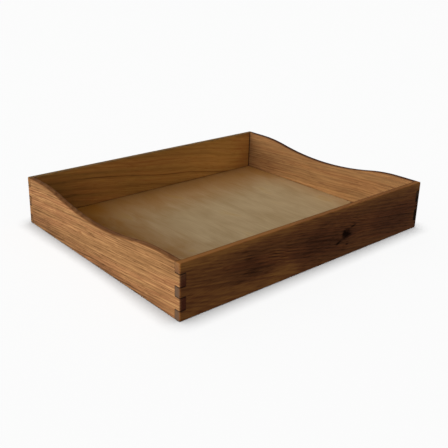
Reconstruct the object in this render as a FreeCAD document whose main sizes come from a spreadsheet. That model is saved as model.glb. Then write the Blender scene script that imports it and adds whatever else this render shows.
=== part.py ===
import FreeCAD, Part
import os

import Sketcher

# Letter tray: four box-jointed hardwood boards round a plywood base that they hold in a groove.
#
# Frame: +Z up, origin on the table under the middle of the tray. +X runs along the front and back
# boards, +Y from the front board to the back one. Sizes are in millimetres.
#
# Each board is drawn in a frame of its own: local X along the board with its middle at 0, local Y
# from the outer face (0) inwards, local Z up from its bottom edge. Its Placement stands it in the tray.

SIZES = {
    # outside of the tray
    "tray_length": 340.0,
    "tray_width": 278.0,
    "tray_height": 54.0,
    "board_thickness": 6.5,
    # box joints: each end of a side board carries this many fingers, a front or back board one more
    "side_finger_count": 2,
    "side_finger_height": 12.2,
    # scoop in the top edge of the side boards: level at both ends, a round knuckle, then a long hollow
    "scoop_depth": 11.0,
    "scoop_end_flat": 29.0,
    "scoop_knuckle_radius": 200.0,
    # groove round the inside that holds the base
    "groove_lip": 2.0,
    "groove_depth": 3.0,
    "groove_headroom": 0.4,
    "base_edge_clearance": 0.5,
    # base: three plies, the two faces thinner than the core
    "face_ply_thickness": 0.8,
    "core_ply_thickness": 1.4,
    # sanded edges
    "corner_radius": 1.5,
    "outer_arris_radius": 1.0,
    "inner_arris_radius": 1.0,
}

# Formulas that more than one feature uses, in the sheet's own names.
INNER_LENGTH = "(Sizes.tray_length - 2 * Sizes.board_thickness)"
INNER_WIDTH = "(Sizes.tray_width - 2 * Sizes.board_thickness)"
END_FINGER_HEIGHT = (
    "((Sizes.tray_height - Sizes.side_finger_count * Sizes.side_finger_height)"
    " / (Sizes.side_finger_count + 1))"
)
FINGER_PITCH = f"({END_FINGER_HEIGHT} + Sizes.side_finger_height)"
BASE_THICKNESS = "(2 * Sizes.face_ply_thickness + Sizes.core_ply_thickness)"
BASE_TONGUE = "(Sizes.groove_depth - Sizes.base_edge_clearance)"

TOLERANCE = 1e-4
# how a sketch numbers its own origin
ORIGIN_POINT = (-1, 1)

doc = FreeCAD.newDocument("LetterTray")
sheet = doc.addObject("Spreadsheet::Sheet", "Sizes")
for row, (size_name, size) in enumerate(SIZES.items(), start=1):
    sheet.set(f"A{row}", size_name)
    sheet.set(f"B{row}", str(size))
    sheet.setAlias(f"B{row}", size_name)
doc.recompute()


def value(formula: str) -> float:
    """Works out a formula in the sheet's names."""
    return float(sheet.evalExpression(formula))


# ---------------------------------------------------------------------------- sketches and features


def sketch_on(body, role: str, name: str, height: str = "0"):
    """Adds an empty sketch on one of the body's own origin planes.

    Args:
        body: the body that owns the sketch.
        role: the plane, such as XY_Plane.
        name: the sketch's name.
        height: formula for how far the sketch stands off the plane, along its normal.
    """
    plane = next(item for item in body.Origin.OriginFeatures if item.Role == role)
    sketch = body.newObject("Sketcher::SketchObject", name)
    sketch.AttachmentSupport = [(plane, "")]
    sketch.MapMode = "FlatFace"
    sketch.setExpression("AttachmentOffset.Base.z", height)
    return sketch


def dimension(sketch, name: str, formula: str, kind: str, *where: int) -> None:
    """Adds a named dimension to a sketch and binds it to a formula."""
    index = sketch.addConstraint(Sketcher.Constraint(kind, *where, value(formula)))
    sketch.renameConstraint(index, name)
    sketch.setExpression(f"Constraints.{name}", formula)


def draw_rectangle(sketch, left: str, right: str, bottom: str, top: str) -> None:
    """Draws a closed rectangle whose four sides are bound to formulas."""
    x_low, x_high, y_low, y_high = (value(side) for side in (left, right, bottom, top))
    corners = [
        FreeCAD.Vector(x_low, y_low),
        FreeCAD.Vector(x_high, y_low),
        FreeCAD.Vector(x_high, y_high),
        FreeCAD.Vector(x_low, y_high),
    ]
    for index, corner in enumerate(corners):
        sketch.addGeometry(Part.LineSegment(corner, corners[(index + 1) % 4]), False)
    for index in range(4):
        sketch.addConstraint(Sketcher.Constraint("Coincident", index, 2, (index + 1) % 4, 1))
        direction = "Horizontal" if index % 2 == 0 else "Vertical"
        sketch.addConstraint(Sketcher.Constraint(direction, index))
    dimension(sketch, "left", left, "DistanceX", *ORIGIN_POINT, 0, 1)
    dimension(sketch, "bottom", bottom, "DistanceY", *ORIGIN_POINT, 0, 1)
    dimension(sketch, "right", right, "DistanceX", *ORIGIN_POINT, 2, 1)
    dimension(sketch, "top", top, "DistanceY", *ORIGIN_POINT, 2, 1)


def pad(body, name: str, sketch, length: str, reverse: bool = False):
    """Pads a sketch to a length given by a formula."""
    feature = body.newObject("PartDesign::Pad", name)
    feature.Profile = sketch
    feature.setExpression("Length", length)
    feature.Reversed = reverse
    doc.recompute()
    return feature


def pocket(body, name: str, sketch, length: str, midplane: bool = False):
    """Cuts a sketch into the body and makes sure that the cut took wood away."""
    before = body.Shape.Volume
    feature = body.newObject("PartDesign::Pocket", name)
    feature.Profile = sketch
    feature.setExpression("Length", length)
    feature.Midplane = midplane
    doc.recompute()
    if feature.Shape.Volume > before - TOLERANCE:
        raise RuntimeError(f"{body.Label}: {name} cuts nothing")
    return feature


def round_edges(body, name: str, radius: str, wanted) -> None:
    """Rounds every edge of the body that the test picks out.

    Args:
        body: the body to round.
        name: the fillet's name.
        radius: formula for the radius.
        wanted: a function that takes an edge's bounding box and says whether it is rounded.
    """
    base = body.Tip
    names = [
        f"Edge{number}"
        for number, edge in enumerate(base.Shape.Edges, start=1)
        if wanted(edge.BoundBox)
    ]
    fillet = body.newObject("PartDesign::Fillet", name)
    fillet.Base = (base, names)
    fillet.setExpression("Radius", radius)
    doc.recompute()
    body.Tip = fillet


def same(a: float, b: float) -> bool:
    """Says whether two lengths are equal within the model's tolerance."""
    return abs(a - b) < TOLERANCE


# --------------------------------------------------------------------------------------- the boards


def start_board(label: str, turn: float, x: str, y: str):
    """Makes an empty body that stands in the tray as one of its boards.

    Args:
        label: the board's name.
        turn: its angle about Z, in degrees.
        x: formula for where the middle of its outer face stands along X.
        y: the same along Y.
    """
    body = doc.addObject("PartDesign::Body", label)
    body.Label = label
    body.Placement.Rotation = FreeCAD.Rotation(FreeCAD.Vector(0, 0, 1), turn)
    body.setExpression("Placement.Base.x", x)
    body.setExpression("Placement.Base.y", y)
    return body


def cut_joint(body, length: str, bottom: str, top: str, count: str) -> None:
    """Cuts the gaps between the fingers at both ends of a board.

    The lowest gap is cut at the left end, repeated up the board's height and mirrored to the
    right end. A gap is as deep as the board that it takes is thick.

    Args:
        body: the board.
        length: formula for its outside length.
        bottom: formula for the lowest gap's lower side.
        top: formula for its upper side.
        count: formula for how many gaps one end has.
    """
    blank_volume = body.Shape.Volume
    sketch = sketch_on(body, "XZ_Plane", f"{body.Name}_FingerGapSketch")
    draw_rectangle(sketch, f"-{length} / 2", f"-{length} / 2 + Sizes.board_thickness", bottom, top)
    gap = pocket(body, f"{body.Name}_FingerGap", sketch, "Sizes.board_thickness")
    one_gap = gap.AddSubShape.Volume

    joint = body.newObject("PartDesign::MultiTransform", f"{body.Name}_FingerJoint")
    up = doc.addObject("PartDesign::LinearPattern", f"{body.Name}_FingersUp")
    body.addObject(up)
    up.Direction = (sketch, ["V_Axis"])
    up.setExpression("Occurrences", count)
    up.setExpression("Length", f"({count} - 1) * {FINGER_PITCH}")
    across = doc.addObject("PartDesign::Mirrored", f"{body.Name}_FingersAcross")
    body.addObject(across)
    across.MirrorPlane = (sketch, ["V_Axis"])
    joint.Originals = [gap]
    joint.Transformations = [up, across]
    body.Tip = joint
    doc.recompute()

    gaps_cut = (blank_volume - joint.Shape.Volume) / one_gap
    if round(gaps_cut) != round(2 * value(count)):
        raise RuntimeError(f"{body.Label}: not every finger gap is cut")


def cut_groove(body, length: str) -> None:
    """Cuts the groove for the base into a board's inner face, on both sides of its middle.

    Args:
        body: the board.
        length: formula for the groove's whole length.
    """
    floor = "-(Sizes.board_thickness - Sizes.groove_depth)"
    sketch = sketch_on(body, "XZ_Plane", f"{body.Name}_GrooveSketch", floor)
    draw_rectangle(
        sketch,
        f"-{length} / 2",
        f"{length} / 2",
        "Sizes.groove_lip",
        f"Sizes.groove_lip + {BASE_THICKNESS} + Sizes.groove_headroom",
    )
    pocket(body, f"{body.Name}_Groove", sketch, "Sizes.groove_depth")


def ease_inner_edge(body) -> None:
    """Rounds the inner top edge of a front or back board between the side boards.

    The round stops where the side boards butt against it, so that the rim stays closed there.
    """
    sketch = sketch_on(body, "YZ_Plane", f"{body.Name}_InnerArrisSketch")
    face, top = value("Sizes.board_thickness"), value("Sizes.tray_height")
    radius = value("Sizes.inner_arris_radius")
    start, corner, end = (
        FreeCAD.Vector(face - radius, top),
        FreeCAD.Vector(face, top),
        FreeCAD.Vector(face, top - radius),
    )
    circle = Part.Circle(FreeCAD.Vector(face - radius, top - radius), FreeCAD.Vector(0, 0, 1), radius)
    along = sketch.addGeometry(Part.LineSegment(start, corner), False)
    down = sketch.addGeometry(Part.LineSegment(corner, end), False)
    arc = sketch.addGeometry(
        Part.ArcOfCircle(circle, circle.parameter(end), circle.parameter(start)), False
    )
    for constraint in (
        ("Horizontal", along),
        ("Vertical", down),
        ("Coincident", along, 2, down, 1),
        ("Coincident", down, 2, arc, 1),
        ("Coincident", arc, 2, along, 1),
        ("Horizontal", arc, 3, arc, 1),
        ("Vertical", arc, 3, arc, 2),
    ):
        sketch.addConstraint(Sketcher.Constraint(*constraint))
    dimension(sketch, "face", "Sizes.board_thickness", "DistanceX", *ORIGIN_POINT, down, 1)
    dimension(sketch, "top", "Sizes.tray_height", "DistanceY", *ORIGIN_POINT, down, 1)
    dimension(sketch, "radius", "Sizes.inner_arris_radius", "Radius", arc)
    pocket(body, f"{body.Name}_InnerArris", sketch, INNER_LENGTH, midplane=True)


def round_corners(body, length: str) -> None:
    """Rounds the upright outer edges of a board's fingers, where it shows at the tray's corners."""
    end = value(length) / 2

    def at_corner(box) -> bool:
        upright = same(box.XLength, 0) and same(box.YLength, 0)
        return upright and same(abs(box.XMin), end) and same(box.YMin, 0)

    round_edges(body, f"{body.Name}_CornerRound", "Sizes.corner_radius", at_corner)


def make_end_board(label: str, turn: float, side: str):
    """Makes the front or the back board: straight, with the wider set of fingers.

    Args:
        label: the board's name.
        turn: its angle about Z, in degrees.
        side: -1 for the front, 1 for the back, as text for the formula.
    """
    body = start_board(label, turn, "0", f"{side} * Sizes.tray_width / 2")
    length = "Sizes.tray_length"

    sketch = sketch_on(body, "XZ_Plane", f"{body.Name}_BlankSketch")
    draw_rectangle(sketch, f"-{length} / 2", f"{length} / 2", "0", "Sizes.tray_height")
    pad(body, f"{body.Name}_Blank", sketch, "Sizes.board_thickness", reverse=True)

    cut_joint(body, length, END_FINGER_HEIGHT, FINGER_PITCH, "Sizes.side_finger_count")
    # The groove stops inside the fingers, just past the base's corner, and never shows outside.
    cut_groove(body, f"({INNER_LENGTH} + 2 * Sizes.groove_depth)")
    ease_inner_edge(body)
    round_corners(body, length)

    inner_face, height = value("Sizes.board_thickness"), value("Sizes.tray_height")

    def outer_rim(box) -> bool:
        level = same(box.ZLength, 0) and (same(box.ZMin, 0) or same(box.ZMin, height))
        return level and box.YMin < inner_face / 2 and box.XLength + box.YLength > TOLERANCE

    round_edges(body, f"{body.Name}_OuterArris", "Sizes.outer_arris_radius", outer_rim)
    return body


def draw_scooped_outline(sketch) -> None:
    """Draws a side board's elevation: straight sides, and a top edge that dips in the middle.

    Each end of the top is level, turns down over a convex knuckle and runs tangent into one long
    hollow. The hollow's radius follows from its depth.
    """
    half, height = value("Sizes.tray_width / 2"), value("Sizes.tray_height")
    knuckle = value("Sizes.scoop_knuckle_radius")
    depth = value("Sizes.scoop_depth")
    run = half - value("Sizes.scoop_end_flat")
    hollow = (run**2 + depth**2) / (2 * depth) - knuckle
    upward = FreeCAD.Vector(0, 0, 1)

    right_circle = Part.Circle(FreeCAD.Vector(run, height - knuckle), upward, knuckle)
    left_circle = Part.Circle(FreeCAD.Vector(-run, height - knuckle), upward, knuckle)
    hollow_circle = Part.Circle(FreeCAD.Vector(0, height - depth + hollow), upward, hollow)
    # The tangent point divides the line between the two centres in the ratio of the radii.
    meet_x = run * hollow / (hollow + knuckle)
    meet_y = height - knuckle + (hollow - depth + knuckle) * knuckle / (hollow + knuckle)
    right_meet, left_meet = FreeCAD.Vector(meet_x, meet_y), FreeCAD.Vector(-meet_x, meet_y)
    right_level, left_level = FreeCAD.Vector(run, height), FreeCAD.Vector(-run, height)

    def arc(circle, start, end):
        return Part.ArcOfCircle(circle, circle.parameter(start), circle.parameter(end))

    foot_left, foot_right = FreeCAD.Vector(-half, 0), FreeCAD.Vector(half, 0)
    head_left, head_right = FreeCAD.Vector(-half, height), FreeCAD.Vector(half, height)
    bottom, right_end, right_flat, right_knuckle, scoop, left_knuckle, left_flat, left_end = (
        sketch.addGeometry(piece, False)
        for piece in (
            Part.LineSegment(foot_left, foot_right),
            Part.LineSegment(foot_right, head_right),
            Part.LineSegment(head_right, right_level),
            arc(right_circle, right_level, right_meet),
            arc(hollow_circle, left_meet, right_meet),
            arc(left_circle, left_meet, left_level),
            Part.LineSegment(left_level, head_left),
            Part.LineSegment(head_left, foot_left),
        )
    )
    lowest = sketch.addGeometry(Part.Point(FreeCAD.Vector(0, height - depth)), True)
    for constraint in (
        ("Horizontal", bottom),
        ("Horizontal", right_flat),
        ("Horizontal", left_flat),
        ("Vertical", right_end),
        ("Vertical", left_end),
        ("Coincident", bottom, 2, right_end, 1),
        ("Coincident", right_end, 2, right_flat, 1),
        ("Tangent", right_flat, 2, right_knuckle, 1),
        ("Tangent", right_knuckle, 2, scoop, 2),
        ("Tangent", scoop, 1, left_knuckle, 1),
        ("Tangent", left_knuckle, 2, left_flat, 1),
        ("Coincident", left_flat, 2, left_end, 1),
        ("Coincident", left_end, 2, bottom, 1),
        ("Symmetric", bottom, 1, bottom, 2, *ORIGIN_POINT),
        ("Equal", right_end, left_end),
        ("Equal", right_flat, left_flat),
        ("Equal", right_knuckle, left_knuckle),
        ("PointOnObject", lowest, 1, scoop),
        ("Vertical", lowest, 1, *ORIGIN_POINT),
    ):
        sketch.addConstraint(Sketcher.Constraint(*constraint))
    dimension(sketch, "length", "Sizes.tray_width", "DistanceX", bottom, 1, bottom, 2)
    dimension(sketch, "height", "Sizes.tray_height", "DistanceY", right_end, 1, right_end, 2)
    dimension(sketch, "flat", "Sizes.scoop_end_flat", "DistanceX", right_flat, 2, right_flat, 1)
    dimension(sketch, "knuckle", "Sizes.scoop_knuckle_radius", "Radius", right_knuckle)
    dimension(sketch, "depth", "Sizes.scoop_depth", "DistanceY", lowest, 1, right_flat, 1)


def make_side_board(label: str, turn: float, side: str):
    """Makes the left or the right board: scooped along the top, with the narrower set of fingers.

    Args:
        label: the board's name.
        turn: its angle about Z, in degrees.
        side: -1 for the left, 1 for the right, as text for the formula.
    """
    body = start_board(label, turn, f"{side} * Sizes.tray_length / 2", "0")
    length = "Sizes.tray_width"

    sketch = sketch_on(body, "XZ_Plane", f"{body.Name}_BlankSketch")
    draw_scooped_outline(sketch)
    pad(body, f"{body.Name}_Blank", sketch, "Sizes.board_thickness", reverse=True)

    cut_joint(body, length, "0", END_FINGER_HEIGHT, "Sizes.side_finger_count + 1")
    # The end boards cover this groove's ends, so it runs right through.
    cut_groove(body, INNER_WIDTH)
    round_corners(body, length)

    height, depth = value("Sizes.tray_height"), value("Sizes.scoop_depth")
    between_ends = value(INNER_WIDTH) / 2

    def along_board(box) -> bool:
        in_span = max(abs(box.XMin), abs(box.XMax)) < between_ends + TOLERANCE
        return in_span and same(box.YLength, 0) and not same(box.XLength, 0)

    def on_top(box) -> bool:
        return box.ZMin > height - depth - TOLERANCE

    def outer_rim(box) -> bool:
        return along_board(box) and same(box.YMin, 0) and (on_top(box) or same(box.ZMax, 0))

    def inner_rim(box) -> bool:
        return along_board(box) and box.YMin > TOLERANCE and on_top(box)

    round_edges(body, f"{body.Name}_OuterArris", "Sizes.outer_arris_radius", outer_rim)
    round_edges(body, f"{body.Name}_InnerArris", "Sizes.inner_arris_radius", inner_rim)
    return body


# ----------------------------------------------------------------------------------------- the base


def make_ply(label: str, thickness: str, height: str):
    """Makes one ply of the base, large enough to reach into the groove on all four sides.

    Args:
        label: the ply's name.
        thickness: formula for its thickness.
        height: formula for the height of its lower face.
    """
    body = doc.addObject("PartDesign::Body", label)
    body.Label = label
    body.setExpression("Placement.Base.z", height)
    sketch = sketch_on(body, "XY_Plane", f"{body.Name}_Sketch")
    half_length = f"({INNER_LENGTH} / 2 + {BASE_TONGUE})"
    half_width = f"({INNER_WIDTH} / 2 + {BASE_TONGUE})"
    draw_rectangle(sketch, f"-{half_length}", half_length, f"-{half_width}", half_width)
    pad(body, f"{body.Name}_Sheet", sketch, thickness)
    return body


def make_base() -> list:
    """Stacks the three plies on the groove's lip."""
    core_height = "Sizes.groove_lip + Sizes.face_ply_thickness"
    face_height = f"{core_height} + Sizes.core_ply_thickness"
    return [
        make_ply("base_back_ply", "Sizes.face_ply_thickness", "Sizes.groove_lip"),
        make_ply("base_core_ply", "Sizes.core_ply_thickness", core_height),
        make_ply("base_face_ply", "Sizes.face_ply_thickness", face_height),
    ]


# ------------------------------------------------------------------------------- the tray, to files

pieces = [
    make_end_board("front_board", 0, "-1"),
    make_end_board("back_board", 180, "1"),
    make_side_board("left_side_board", -90, "-1"),
    make_side_board("right_side_board", 90, "1"),
    *make_base(),
]
doc.recompute()

for item in doc.Objects:
    if {"Invalid", "Error"} & set(item.State):
        raise RuntimeError(f"{item.Label} failed: {item.State}")
for piece in pieces:
    if piece.Shape.isNull() or not piece.Shape.isValid() or len(piece.Shape.Solids) != 1:
        raise RuntimeError(f"{piece.Label} is not one sound solid")

os.makedirs("parts", exist_ok=True)
for piece in pieces:
    piece.Shape.exportStep(f"parts/{piece.Label}.step")
    print(f"{piece.Label}: {piece.Shape.Volume / 1000:.2f} cm3")
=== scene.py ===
import logging
import math
from dataclasses import dataclass
from enum import Enum

import bpy
from mathutils import Matrix, Vector


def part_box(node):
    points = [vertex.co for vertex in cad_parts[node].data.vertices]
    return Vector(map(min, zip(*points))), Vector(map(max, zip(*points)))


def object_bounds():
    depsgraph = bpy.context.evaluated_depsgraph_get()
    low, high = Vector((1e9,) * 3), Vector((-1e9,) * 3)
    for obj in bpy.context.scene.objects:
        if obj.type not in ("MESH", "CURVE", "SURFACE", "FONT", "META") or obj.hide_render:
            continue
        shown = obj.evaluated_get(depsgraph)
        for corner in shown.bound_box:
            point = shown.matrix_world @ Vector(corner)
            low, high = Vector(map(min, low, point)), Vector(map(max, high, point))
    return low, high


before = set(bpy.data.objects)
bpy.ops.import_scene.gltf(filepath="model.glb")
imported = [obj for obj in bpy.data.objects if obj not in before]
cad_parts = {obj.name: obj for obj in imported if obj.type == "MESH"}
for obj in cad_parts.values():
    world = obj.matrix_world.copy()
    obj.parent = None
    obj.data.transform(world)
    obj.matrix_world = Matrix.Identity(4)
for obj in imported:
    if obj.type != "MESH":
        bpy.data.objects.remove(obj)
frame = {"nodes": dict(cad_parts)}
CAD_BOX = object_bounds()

# Looks of the letter tray: oiled oak boards, box-jointed round a plywood base, on a pale studio floor.

LOG = logging.getLogger("letter_tray")
MM = 0.001
FAR_MM = 1000.0  # further than any two places on the tray
Socket = bpy.types.NodeSocket
Range = tuple[float, float]


def linear(hex_colour: str) -> tuple[float, float, float, float]:
    """Turns an sRGB hex colour into the linear values that Blender's sockets hold.

    Args:
        hex_colour: six hex digits, with or without a leading #.

    Returns:
        Linear red, green and blue, and an alpha of 1.
    """
    digits = hex_colour.lstrip("#")
    channels = [int(digits[place : place + 2], 16) / 255 for place in (0, 2, 4)]
    red, green, blue = (
        c / 12.92 if c <= 0.04045 else ((c + 0.055) / 1.055) ** 2.4 for c in channels
    )
    return red, green, blue, 1.0


class Graph:
    """A material's node tree, filled one node at a time."""

    def __init__(self, name: str) -> None:
        """Starts an empty material.

        Args:
            name: the material's name.
        """
        self.material = bpy.data.materials.new(name)
        self.material.use_nodes = True
        self.tree = self.material.node_tree
        self.tree.nodes.clear()

    def add(self, kind: str, inputs: dict, out: int | str = 0, **settings: object) -> Socket:
        """Adds a node, sets its properties and fills its inputs.

        Args:
            kind: the node's type, without the ShaderNode in front.
            inputs: for each input's name or number, a value or the socket that feeds it.
            out: the name or number of the output to hand back.
            settings: the node's own properties.

        Returns:
            The chosen output, or the node's first input if it has no outputs.
        """
        node = self.tree.nodes.new(f"ShaderNode{kind}")
        for name, value in settings.items():
            setattr(node, name, value)
        for key, value in inputs.items():
            if isinstance(value, Socket):
                self.tree.links.new(value, node.inputs[key])
            else:
                node.inputs[key].default_value = value
        return node.outputs[out] if node.outputs else node.inputs[0]


# ------------------------------------------------------------------------------------ oak boards


class Side(Enum):
    """A board's place in the tray: how far it is turned about Z, in degrees."""

    FRONT = 0
    BACK = 180
    LEFT = -90
    RIGHT = 90

    @property
    def carries_end_fingers(self) -> bool:
        """Says whether the board has the fingers at the top and bottom of each joint."""
        return self in (Side.FRONT, Side.BACK)


class Arris(Enum):
    """The edge of a rim that is drawn dark, painted shade with some dirt: its sign along the board's
    depth.
    """

    INNER = 1
    OUTER = -1


@dataclass(frozen=True)
class LogPlace:
    """Where in the log a board was sawn, from the middle of the board, in its own frame.

    The board's frame runs along its length, in from its outer face, and up.

    Attributes:
        drift_in: how far the pith leans inwards for each millimetre along the board.
        drift_up: how far it leans upwards; the grain on the board's faces has this slope.
        ring_mm: how far apart its growth rings are.
        wander_mm: how far the grain wanders from straight.
    """

    pith_in_mm: float
    pith_up_mm: float
    drift_in: float = 0.0
    drift_up: float = 0.0
    ring_mm: float = 3.0
    wander_mm: float = 4.0


@dataclass(frozen=True)
class Patch:
    """A soft oval that goes right through a board.

    Attributes:
        slope: how far it climbs for each millimetre along the board.
    """

    along_mm: float
    up_mm: float
    long_mm: float
    tall_mm: float
    slope: float = 0.0


@dataclass(frozen=True)
class Knot:
    """A small sound knot: a dark heart, dark blotches beside it, and grain that flows round it.

    Attributes:
        swell_mm: how far it pushes the grain aside.
        blotch_weight: how dark a blotch is beside the heart.
        ragged_mm: how far the edges wander.
        crumb_length_mm: length of the crumbs of dark wood that break up the edges.
        crumb_mm: their width.
        dark_range: where the broken edge begins, and where the wood is all dark.
        depth: how far it darkens, as a share of the range from deep to pale.
    """

    heart: Patch
    blotches: tuple[Patch, ...]
    swell_mm: float
    blotch_weight: float = 0.6
    ragged_mm: float = 5.0
    crumb_length_mm: float = 4.0
    crumb_mm: float = 2.2
    dark_range: Range = (0.07, 0.46)
    depth: float = 1.1


@dataclass(frozen=True)
class Curl:
    """A patch of curly figure: short slanting ripples, painted lighter and darker into the colour as
    the light they catch.

    Attributes:
        ripple_mm: from one ripple to the next.
        slope: how far a ripple climbs for each millimetre along the board.
        ragged_mm: how far the patch's edge wanders.
        bend: how far the ripples wander, in radians of a ripple.
        bend_length_mm: how slowly they do so along the board.
        bend_width_mm: how slowly across it.
    """

    patch: Patch
    ripple_mm: float = 3.0
    slope: float = -0.27
    strength: float = 0.24
    ragged_mm: float = 6.0
    bend: float = 7.0
    bend_length_mm: float = 18.0
    bend_width_mm: float = 6.0


@dataclass(frozen=True)
class Cloud:
    """A soft stretch of wood drawn lighter or darker than the rest: mostly wood that took the oil
    deeper, or less deep, and along the front board's top edge a painted highlight.

    Attributes:
        lift: how much lighter it is, as a share of the range from deep to pale, or darker.
        blush: how much redder it is.
        ragged_mm: how far its edge wanders.
    """

    patch: Patch
    lift: float
    blush: float = 0.0
    ragged_mm: float = 14.0


@dataclass(frozen=True)
class ProudRing:
    """One growth ring that stands out: a dark line of late wood, with paler wood inside it.

    Attributes:
        fade_from_mm: where along the board it begins to fade.
        fade_mm: how far on it has gone.
        pale_widths: how wide the paler wood is, in widths of the line.
        pale_share: how pale it is, as a share of the line's depth.
    """

    radius_mm: float
    width_mm: float
    depth: float
    fade_from_mm: float
    fade_mm: float = 40.0
    pale_widths: float = 3.0
    pale_share: float = 0.3


@dataclass(frozen=True)
class Plank:
    """One board as it came from the stack: its colours, its place in the log and its marks.

    The colours are those of the oiled wood, from its paler streaks to its deeper ones, of the
    streaks that turned red, of its end grain and of its rim, which is painted shade on the
    weakly lit tops together with the wear of hands.

    Attributes:
        figure: how strongly the fine grain shows.
        mottle: how strongly the broad streaks show.
        end_share: how much of the end grain's own colour shows on the fingers' ends.
        rim_share: how much of the rim's own colour shows: painted shade and wear together.
        dark_arris: which edge of the rim carries painted shade, with some dirt.
        arris_share: how dark that painted shade is.
        arris_mm: how far it reaches across the rim.
        base_line_share: how dark the line is where the board meets the base, seam and painted
            shade together.
    """

    side: Side
    pale_hex: str
    body_hex: str
    deep_hex: str
    red_hex: str
    end_hex: str
    log: LogPlace
    rim_hex: str = "#6a3a12"
    figure: float = 1.0
    mottle: float = 0.2
    end_share: float = 0.9
    rim_share: float = 0.75
    dark_arris: Arris = Arris.INNER
    arris_share: float = 0.35
    arris_mm: float = 2.8
    base_line_share: float = 1.0
    knot: Knot | None = None
    ring: ProudRing | None = None
    curls: tuple[Curl, ...] = ()
    clouds: tuple[Cloud, ...] = ()


@dataclass(frozen=True)
class Joint:
    """The lines that show on one board where it meets its neighbours and the base.

    Attributes:
        levels_mm: heights of the faces between fingers, from the board's middle.
        shoulder_mm: how far from the board's middle its neighbour's fingers begin.
        base_top_mm: height of the base's face, from the board's middle.
        inner_face_mm: where the board's inner face is, in from its middle.
    """

    levels_mm: tuple[float, ...]
    shoulder_mm: float
    base_top_mm: float
    inner_face_mm: float


@dataclass(frozen=True)
class OiledOak:
    """Oak, planed and sanded, under two coats of hard oil that has darkened with age.

    The eye sees warm brown growth rings that agree on every face because they fill the whole
    log, fine pale and dark fibre streaks, open pores as short dark dashes, and end grain that
    drinks the oil and goes dark. The sheen is a low satin, broken by the pores.
    """

    joint_hex: str = "#1d0f08"
    knot_hex: str = "#220e03"
    # the dark edge of a rim: painted shade, with some dirt
    arris_hex: str = "#341104"
    ior: float = 1.48
    roughness: float = 0.6
    pore_roughness: float = 0.2
    gloss: float = 0.13
    # dust and grime have dulled wood darker than this: the knot, the end grain and the joints
    dull_below: float = 0.04

    # sizes in the wood itself; fibres and pores are drawn several times coarser than oak's own
    # 0.1 to 0.3 mm, which would not show at all
    fibre_mm: float = 0.95
    fibre_length_mm: float = 90.0
    fleck_mm: float = 1.4
    fleck_length_mm: float = 24.0
    band_mm: float = 9.0
    band_length_mm: float = 140.0
    blush_mm: float = 9.0
    blush_length_mm: float = 130.0
    pore_mm: float = 0.9
    pore_length_mm: float = 11.0
    relief_mm: float = 0.08

    # how slowly the grain wanders along the board, in and up, and how slowly a patch's edge does
    wander_size_mm: tuple[float, float, float] = (120.0, 45.0, 45.0)
    ragged_size_mm: tuple[float, float, float] = (30.0, 12.0, 12.0)
    # a patch's edge wanders this many times further along the grain than across it
    ragged_stretch: float = 3.0
    # good and bad years: how often they change for each ring, and how many rings they come to
    weather_scale: float = 0.23
    weather_rings: float = 3.0

    # how strongly each shows, as a share of the range from deep to pale
    fibre_strength: float = 0.36
    fleck_strength: float = 0.28
    ring_strength: float = 0.05
    late_wood_strength: float = 0.22
    pore_strength: float = 0.18
    # how far below the deepest wood a knot's own colour is
    heart_depth: float = 0.6
    # how red the reddest streaks are, and how far a cloud's blush reaches
    blush_share: float = 0.5
    cloud_blush: float = 0.24

    # where in its noise, or in its year, each begins and where it is full
    pore_range: Range = (0.56, 0.7)
    blush_range: Range = (0.42, 0.66)
    late_wood_range: Range = (0.3, 0.85)

    # how far a face has turned up when the rim begins and when it is all rim (painted shade on
    # the weakly lit tops, with handled wear), then how much of its colour is left between the
    # fibres, and where across the dark edge, also painted shade, it is full
    rim_turn: Range = (0.12, 0.5)
    rim_fibres: Range = (0.3, 0.6)
    rim_fibre_gap_share: float = 0.75
    arris_full_share: float = 0.3

    # the same turn towards the grain for end grain, and its specks
    end_turn: Range = (0.5, 0.98)
    end_fibres: Range = (0.35, 0.6)
    end_speck_share: float = 0.82
    # the end grain is drawn paler at the very corner, and the oil sinks in least at the top, where
    # hands rub it
    corner_mm: float = 3.0
    corner_share: float = 0.75
    handled_mm: Range = (8.0, 18.0)
    handled_share: float = 0.6

    # lines where pieces meet: half their width, in proportion where a board ends against its
    # neighbour and inside the tray, where they are a dark seam with painted shade in the corner,
    # and how dark they are
    joint_line_mm: float = 1.0
    shoulder_line: float = 0.6
    inside_line: float = 1.5
    line_share: float = 0.92


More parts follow.
